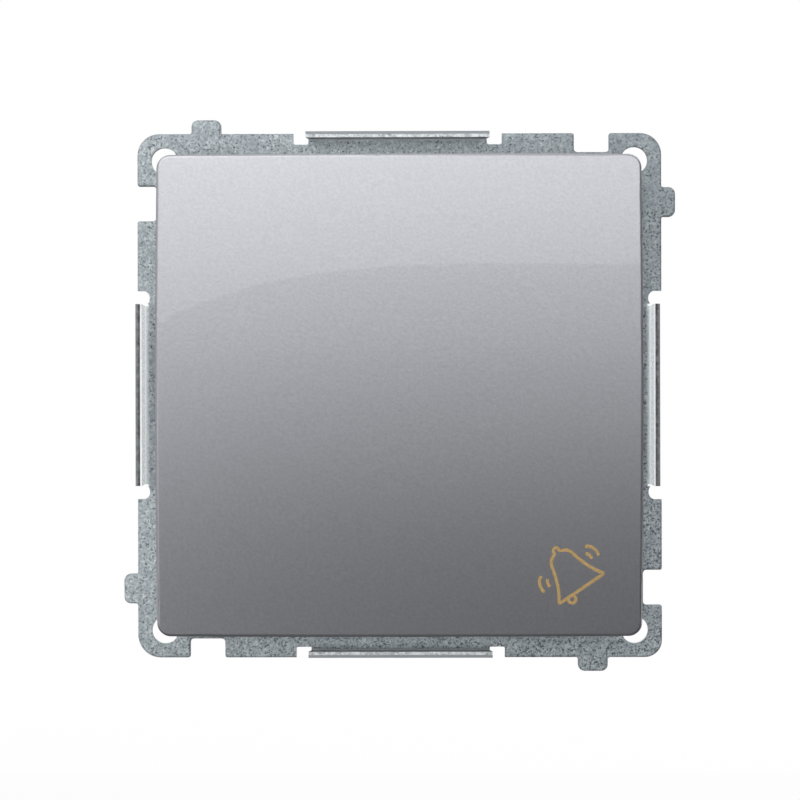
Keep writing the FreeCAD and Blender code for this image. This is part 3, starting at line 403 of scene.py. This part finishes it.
# %% [markdown]
# ## The inner metals
# Screws and claws are zinc-plated, pins and springs are drawn, contact strips are rolled
# and the terminal blocks are machined. Each of these leaves marks of its own size, drawn
# out along the way the metal ran. One recipe takes the two tones, the size of the marks,
# their stretch along X, Y and Z and the roughness. The darker marks are also the rougher,
# which gives the eye a lightly worked metal. A low stretch means long marks along an axis.
# Real marks are under 0.1 mm wide, and these are drawn coarser so that they show.


# %% The recipe for a small metal
def small_metal(name, tone, darker, mark_mm, stretch, roughness):
    material, tree, place = new_material(name)
    drawn = add_node(tree, "ShaderNodeMapping", {"Vector": place, "Scale": stretch})
    size = {"Scale": 1 / (mark_mm * MM), "Detail": 4.0, "Roughness": 0.65}
    marks = add_node(tree, "ShaderNodeTexNoise", {"Vector": drawn, **size})
    tones = [(0.3, colour(darker)), (0.6, colour(tone))]
    levels = [(0.3, grey(roughness + 0.15)), (0.7, grey(roughness))]
    bump = {"Height": marks, "Strength": 0.15, "Distance": 0.03 * MM}
    shader = add_node(
        tree,
        "ShaderNodeBsdfPrincipled",
        {
            "Base Color": add_node(tree, "ShaderNodeValToRGB", {"Fac": marks}, tones),
            "Metallic": 1.0,
            "Roughness": add_node(tree, "ShaderNodeValToRGB", {"Fac": marks}, levels),
            "Normal": add_node(tree, "ShaderNodeBump", bump),
        },
    )
    add_node(tree, "ShaderNodeOutputMaterial", {"Surface": shader})
    return material


# %% Metals by name: tone, darker tone, marks in mm, stretch and roughness
EVEN, ALONG_X, ALONG_Y, ALONG_Z = (1, 1, 1), (0.2, 1, 1), (1, 0.3, 1), (1, 1, 0.2)
metals = {
    name: small_metal(name, *recipe)
    for name, recipe in {
        "zinc_plated_screw": ("B9BCBF", "94989B", 0.5, EVEN, 0.3),
        "zinc_plated_strip": ("AEB3B5", "868B8D", 0.4, ALONG_Y, 0.38),
        "drawn_steel": ("A9ACAF", "8A8E90", 0.3, ALONG_X, 0.28),
        "spring_wire": ("9B9EA0", "7B7E80", 0.2, EVEN, 0.3),
        "rolled_bronze": ("C4945A", "A5783F", 0.3, ALONG_Z, 0.3),
        "rolled_brass": ("CDAF67", "B0914A", 0.3, ALONG_Z, 0.3),
        "machined_brass": ("CBAE68", "A98D4C", 0.25, ALONG_X, 0.32),
        "contact_silver": ("DEDEDA", "C2C2BE", 0.3, EVEN, 0.22),
    }.items()
}
print("metals:", list(metals))

# %% [markdown]
# ## One finish for each node
# A CAD node keeps its mesh and only gets its material, in the slot that it came with. The
# nodes are grouped by what they are made of, as a parts list would have them.

# %% Dress the nodes
for material, names in (
    (zinc, "mounting_plate"),
    (lacquer, "key"),
    (grey_plastic, "base_housing"),
    (pale_plastic, "bearing_frame push_rocker"),
    (metals["zinc_plated_screw"], "frame_screws terminal_screws claw_screw_left claw_screw_right"),
    (metals["zinc_plated_strip"], "claw_left claw_right claw_nut_left claw_nut_right"),
    (metals["drawn_steel"], "claw_pins contact_pin"),
    (metals["spring_wire"], "return_spring contact_spring"),
    (metals["rolled_bronze"], "contact_arm"),
    (metals["rolled_brass"], "arm_bracket contact_strip"),
    (metals["machined_brass"], "terminal_blocks"),
    (metals["contact_silver"], "moving_contact fixed_contact"),
):
    for name in names.split():
        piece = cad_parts[name]
        piece.data.materials.clear()
        piece.data.materials.append(material)
print("nodes dressed:", len(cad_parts))

# %% [markdown]
# ## The bell sign
# The sign is printed on the key in gold ink: a bell tilted by 34 degrees with two sound
# arcs on each side, drawn in lines 0.42 mm wide. Text or a curve with a bevel would stand
# proud, so each line is a thin flat ribbon, laid on the key's dome a hair proud of the
# lacquer. The dome's radii are the CAD's: 600 mm across and 300 mm up.


# %% The key's domed front, in millimetres
KEY_FRONT = 11.0
DOME_ACROSS = 600.0
DOME_UP = 300.0
INK_PROUD = 0.012


def dome(x, up):
    """How far into the wall the key's surface lies, at a place seen from the front."""
    ring = DOME_UP - DOME_ACROSS + math.sqrt(DOME_ACROSS**2 - x**2)
    return -KEY_FRONT + DOME_UP - math.sqrt(ring**2 - up**2)


print("key's front at its middle and at a corner:", dome(0, 0), round(dome(31, 31), 2))


# %% Helpers for drawing lines
def arc_points(centre, radius, start, finish, count=14):
    """Points along an arc, with angles in degrees."""
    angles = [math.radians(start + (finish - start) * i / count) for i in range(count + 1)]
    return [(centre[0] + radius * math.cos(a), centre[1] + radius * math.sin(a)) for a in angles]


def curve(start, middle, finish, count=10):
    """A gentle curve from start to finish that passes through the middle point."""
    start, middle, finish = Vector(start), Vector(middle), Vector(finish)
    pull = middle * 2 - (start + finish) / 2
    steps = [index / count for index in range(count + 1)]
    return [tuple(start * (1 - t) ** 2 + pull * 2 * t * (1 - t) + finish * t**2) for t in steps]


def mirrored(points):
    return [(-x, up) for x, up in reversed(points)]


# %% The sign's lines, upright, in millimetres from the middle of the bell's rim
rim_corner = curve((3.05, 0.0), (3.42, 0.12), (3.22, 0.45), 6)
flank = curve((2.9, 1.0), (2.16, 2.6), (1.55, 4.75))
shoulder = curve((1.4, 5.05), (1.05, 5.4), (0.5, 5.65), 6)
right_side = rim_corner + flank + shoulder
knob = arc_points((0.0, 6.0), 0.38, -25, 205)
clapper = arc_points((-1.8, -0.45), 0.5, 130, 405)
sign_lines = [(right_side + knob + mirrored(right_side), True), (clapper, False)]
for sound in (
    curve((3.42, 4.32), (4.18, 3.6), (4.27, 2.34), 12),
    curve((2.95, 3.5), (3.25, 3.1), (3.27, 2.5), 8),
):
    sign_lines += [(sound, False), (mirrored(sound), False)]
print("sign lines:", len(sign_lines), "points:", sum(len(points) for points, _ in sign_lines))

# %% A line as a flat ribbon
LINE = 0.42


def ribbon(sheet, points, closed):
    """Spreads the points to both sides by half a line's width and joins them with faces."""
    count = len(points)
    columns = []
    for index, (x, up) in enumerate(points):
        before = points[index - 1] if closed or index > 0 else points[index]
        after = points[(index + 1) % count] if closed or index < count - 1 else points[index]
        along = Vector((after[0] - before[0], after[1] - before[1])).normalized()
        across = Vector((-along.y, along.x)) * LINE / 2
        rails = (x + across.x, 0, up + across.y), (x - across.x, 0, up - across.y)
        columns.append([sheet.verts.new(rail) for rail in rails])
    for index in range(count if closed else count - 1):
        first, second = columns[index], columns[(index + 1) % count]
        sheet.faces.new((first[0], first[1], second[1], second[0]))


sheet = bmesh.new()
for points, closed in sign_lines:
    ribbon(sheet, points, closed)
print("sign faces:", len(sheet.faces))


# %% Lay the sign on the key
SIGN_TILT = math.radians(34.1)
SIGN_AT = (23.65, -25.13)


def to_mesh(name, shape):
    """Turns a finished bmesh into mesh data and lets the bmesh go."""
    mesh = bpy.data.meshes.new(name)
    shape.to_mesh(mesh)
    shape.free()
    return mesh


def put_in_scene(name, data):
    made = bpy.data.objects.new(name, data)
    bpy.context.collection.objects.link(made)
    return made


turn = Matrix.Rotation(-SIGN_TILT, 3, "Y")
for vertex in sheet.verts:
    placed = turn @ vertex.co
    x = placed.x + SIGN_AT[0]
    up = placed.z + SIGN_AT[1]
    vertex.co = Vector((x, dome(x, up) - INK_PROUD, up)) * MM
bmesh.ops.recalc_face_normals(sheet, faces=sheet.faces)
bell_sign = put_in_scene("bell_sign", to_mesh("bell_sign", sheet))
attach(bell_sign, "push")
print("sign laid at", SIGN_AT, "mm on the body push")

# %% [markdown]
# ## Gold ink
# Pad-printed ink with a bronze powder dries to a dull gold, only partly metallic. It gives
# the eye a flat, warm line on the cool lacquer. The powder's grain is too fine to show and
# is drawn at 0.2 mm.

# %% Gold ink
POWDER = 0.2 * MM
gold_ink, tree, place = new_material("gold_ink")
grains = {"Vector": place, "Scale": 1 / POWDER, "Detail": 2.0}
powder = add_node(tree, "ShaderNodeTexNoise", grains)
golds = [(0.3, colour("997E51")), (0.7, colour("AA8F5E"))]
ink_tone = add_node(tree, "ShaderNodeValToRGB", {"Fac": powder}, golds)
ink = {"Base Color": ink_tone, "Metallic": 0.3, "Roughness": 0.45}
shader = add_node(tree, "ShaderNodeBsdfPrincipled", ink)
add_node(tree, "ShaderNodeOutputMaterial", {"Surface": shader})
bell_sign.data.materials.append(gold_ink)
print("sign's ink:", gold_ink.name)

# %% [markdown]
# ## The camera
# The photograph was taken straight from the front, so the camera looks along Y. Its lens
# and place are those at which the plate's outline and the key's corners fall where the
# photograph has them: a hair right of the middle and below it, and almost level.

# %% Camera at the photograph's viewing angle
LENS = 80.6
CAMERA_AT = (1.5 * MM, -0.242, -0.62 * MM)
CAMERA_TURN = (90, 0.1, 0.34)
camera_data = bpy.data.cameras.new("camera")
camera_data.sensor_width = 36
camera_data.lens = LENS
camera_data.clip_start = 0.01
camera = put_in_scene("camera", camera_data)
camera.location = CAMERA_AT
camera.rotation_euler = [math.radians(angle) for angle in CAMERA_TURN]
bpy.context.scene.camera = camera
print("camera at", [round(value, 4) for value in camera.location])

# %% [markdown]
# ## The floor
# A pale floor lies below and behind the object. It is matt for light that bounces, and
# the camera sees it almost as a glow that fades into the white world with distance, so no
# edge shows behind the object.

# %% Floor
FLOOR_HALF, FLOOR_MIDDLE = 3.0, (0, 2.7, -0.3)
floor_sheet = bmesh.new()
bmesh.ops.create_grid(floor_sheet, x_segments=1, y_segments=1, size=FLOOR_HALF)
bmesh.ops.translate(floor_sheet, verts=floor_sheet.verts, vec=FLOOR_MIDDLE)
floor = put_in_scene("floor", to_mesh("floor", floor_sheet))
pale_floor, tree, place = new_material("pale_floor")
rays = add_node(tree, "ShaderNodeLightPath")
away = add_node(tree, "ShaderNodeSeparateXYZ", {"Vector": place}).outputs["Y"]
fading = {"Value": away, "From Min": 0.3, "From Max": 1.6, "To Min": 0.9, "To Max": 1.0}
shares = {0: rays.outputs["Is Camera Ray"], 1: add_node(tree, "ShaderNodeMapRange", fading)}
seen = add_node(tree, "ShaderNodeMath", shares, operation="MULTIPLY")
matt = add_node(tree, "ShaderNodeBsdfDiffuse", {"Color": grey(0.9)})
glow = add_node(tree, "ShaderNodeEmission", {"Color": grey(1.0), "Strength": 1.0})
surface = add_node(tree, "ShaderNodeMixShader", {"Fac": seen, 1: matt, 2: glow})
add_node(tree, "ShaderNodeOutputMaterial", {"Surface": surface})
floor.data.materials.append(pale_floor)
print("floor:", len(floor.data.polygons), "face,", pale_floor.name)

# %% [markdown]
# ## The studio
# Lacquer is photographed in a closed tent of white cloth, because it shows whatever stands
# around it. The cloth in front is the brightest and grows darker towards the bottom. A
# dark card with one rounded corner stands between it and the object: the domed key mirrors
# its edge as the arc, bright above and grey below. A flag, a small dark sheet, lies under
# the object for the lower faces. The camera sees none of these sheets: they light the
# object and show in its mirrors.


# %% A sheet that the camera looks through
def studio_sheet(name, mesh, low, high, left, easing="LINEAR"):
    """Glowing cloth or card: low and high are a height and its level, left is a slope."""
    made = put_in_scene(name, mesh)
    made.visible_camera = False
    made.visible_shadow = False
    material, tree, place = new_material(name)
    split = add_node(tree, "ShaderNodeSeparateXYZ", {"Vector": place})
    rise = {"From Min": low[0], "From Max": high[0], "To Min": low[1], "To Max": high[1]}
    upward = add_node(
        tree,
        "ShaderNodeMapRange",
        {"Value": split.outputs["Z"], **rise},
        interpolation_type=easing,
    )
    slope = {0: split.outputs["X"], 1: -left, 2: upward}
    level = add_node(tree, "ShaderNodeMath", slope, operation="MULTIPLY_ADD")
    light = add_node(tree, "ShaderNodeEmission", {"Strength": level})
    add_node(tree, "ShaderNodeOutputMaterial", {"Surface": light})
    mesh.materials.append(material)
    print(name, "faces:", len(mesh.polygons))


# %% The tent, open nowhere, with a brighter front
TENT_SIZE = (3.6, 2.9, 3.4)
TENT_FRONT = -1.7


def tent_part(name, wanted):
    """The faces of the tent's box whose outward direction passes a test."""
    box = bmesh.new()
    bmesh.ops.create_cube(box, size=1.0)
    bmesh.ops.scale(box, verts=box.verts, vec=TENT_SIZE)
    bmesh.ops.translate(box, verts=box.verts, vec=(0, TENT_FRONT + TENT_SIZE[1] / 2, 0))
    spare = [face for face in box.faces if not wanted(face.normal)]
    bmesh.ops.delete(box, geom=spare, context="FACES")
    return to_mesh(name, box)


front_cloth = tent_part("front_cloth", lambda normal: normal.y < -0.5)
studio_sheet("front_cloth", front_cloth, (-0.8, 0.5), (0.9, 1.24), 0.0)
tent_walls = tent_part("tent_walls", lambda normal: normal.y > -0.5)
studio_sheet("tent_walls", tent_walls, (-1.7, -0.1), (1.7, 0.6), 0.08)

# %% The dark card, whose rounded corner is up on the left
CARD_HALF = (1.3, 1.5)
CARD_ROUND = 0.81
CARD_SQUASH = 0.66
CARD_CORNER = (-0.69, -1.6, 0.327)
card = bmesh.new()
bmesh.ops.create_grid(card, x_segments=1, y_segments=1, size=1.0)
corner = [vert for vert in card.verts if vert.co.x < 0 and vert.co.y > 0]
bmesh.ops.scale(card, verts=card.verts, vec=(*CARD_HALF, 1))
bmesh.ops.bevel(card, geom=corner, offset=CARD_ROUND, segments=24, profile=0.5, affect="VERTICES")
bmesh.ops.translate(card, verts=card.verts, vec=(CARD_HALF[0], -CARD_HALF[1], 0))
bmesh.ops.scale(card, verts=card.verts, vec=(1, CARD_SQUASH, 1))
bmesh.ops.rotate(card, verts=card.verts, matrix=Matrix.Rotation(math.radians(90), 3, "X"))
bmesh.ops.translate(card, verts=card.verts, vec=CARD_CORNER)
dark_card = to_mesh("dark_card", card)
studio_sheet("dark_card", dark_card, (-0.44, 0.135), (0.4, 0.62), 0.05, "SMOOTHSTEP")

# %% The flag under the object
FLAG_HALF, FLAG_MIDDLE = 0.75, (0, 0.45, -0.28)
flag = bmesh.new()
bmesh.ops.create_grid(flag, x_segments=1, y_segments=1, size=FLAG_HALF)
bmesh.ops.translate(flag, verts=flag.verts, vec=FLAG_MIDDLE)
lower_flag = to_mesh("lower_flag", flag)
studio_sheet("lower_flag", lower_flag, (-1.0, 0.1), (0.0, 0.1), 0.05)

# %% [markdown]
# ## Lights
# A weak softbox above is mirrored in the lacquer. The side fill and the rim light bring
# the zinc up to its tone without a mark on the key, because mirrors don't see them. Two
# more light the back, so that views from behind are clear.


# %% Softboxes: place, target, size, watts, and whether mirrors see them
def softbox(name, place, target, size, watts, mirrored_too):
    data = bpy.data.lights.new(name, "AREA")
    data.shape = "RECTANGLE"
    data.size, data.size_y = size
    data.energy = watts
    made = put_in_scene(name, data)
    made.location = place
    made.rotation_euler = (Vector(target) - Vector(place)).to_track_quat("-Z", "Y").to_euler()
    made.visible_glossy = mirrored_too


middle = (0, 0, 0)
softbox("upper_softbox", (-0.5, -1.2, 1.2), middle, (1.0, 0.8), 2, True)
softbox("side_fill", (-0.04, -1.4, -0.25), middle, (0.6, 1.0), 14, False)
softbox("left_rim", (-0.45, -0.2, 0.1), middle, (0.3, 0.5), 0.8, False)
softbox("back_softbox", (0.6, 1.6, 1.2), (0, 0.6, -0.3), (1.2, 1.2), 12, True)
softbox("rear_fill", (1.0, 0.8, 0.2), middle, (0.8, 0.8), 7, False)
print("lights:", [light.name for light in bpy.data.lights])

# %% [markdown]
# ## The world
# The world is white to the camera and to mirrors, as the photograph's background is, and
# a lower, plain level of light for everything else.

# %% World
world = bpy.data.worlds.new("studio")
bpy.context.scene.world = world
world.use_nodes = True
tree = world.node_tree
tree.nodes.clear()
rays = add_node(tree, "ShaderNodeLightPath")
straight = rays.outputs["Is Camera Ray"]
for kind in ("Is Glossy Ray", "Is Transmission Ray"):
    either = {0: straight, 1: rays.outputs[kind]}
    straight = add_node(tree, "ShaderNodeMath", either, operation="MAXIMUM")
plain = add_node(tree, "ShaderNodeBackground", {"Color": grey(1.0), "Strength": 0.6})
white = add_node(tree, "ShaderNodeBackground", {"Color": grey(1.0), "Strength": 1.0})
pick = add_node(tree, "ShaderNodeMixShader", {"Fac": straight, 1: plain, 2: white})
add_node(tree, "ShaderNodeOutputWorld", {"Surface": pick})
bpy.context.scene.view_settings.view_transform = "Standard"
print("world:", world.name, "nodes", len(tree.nodes))
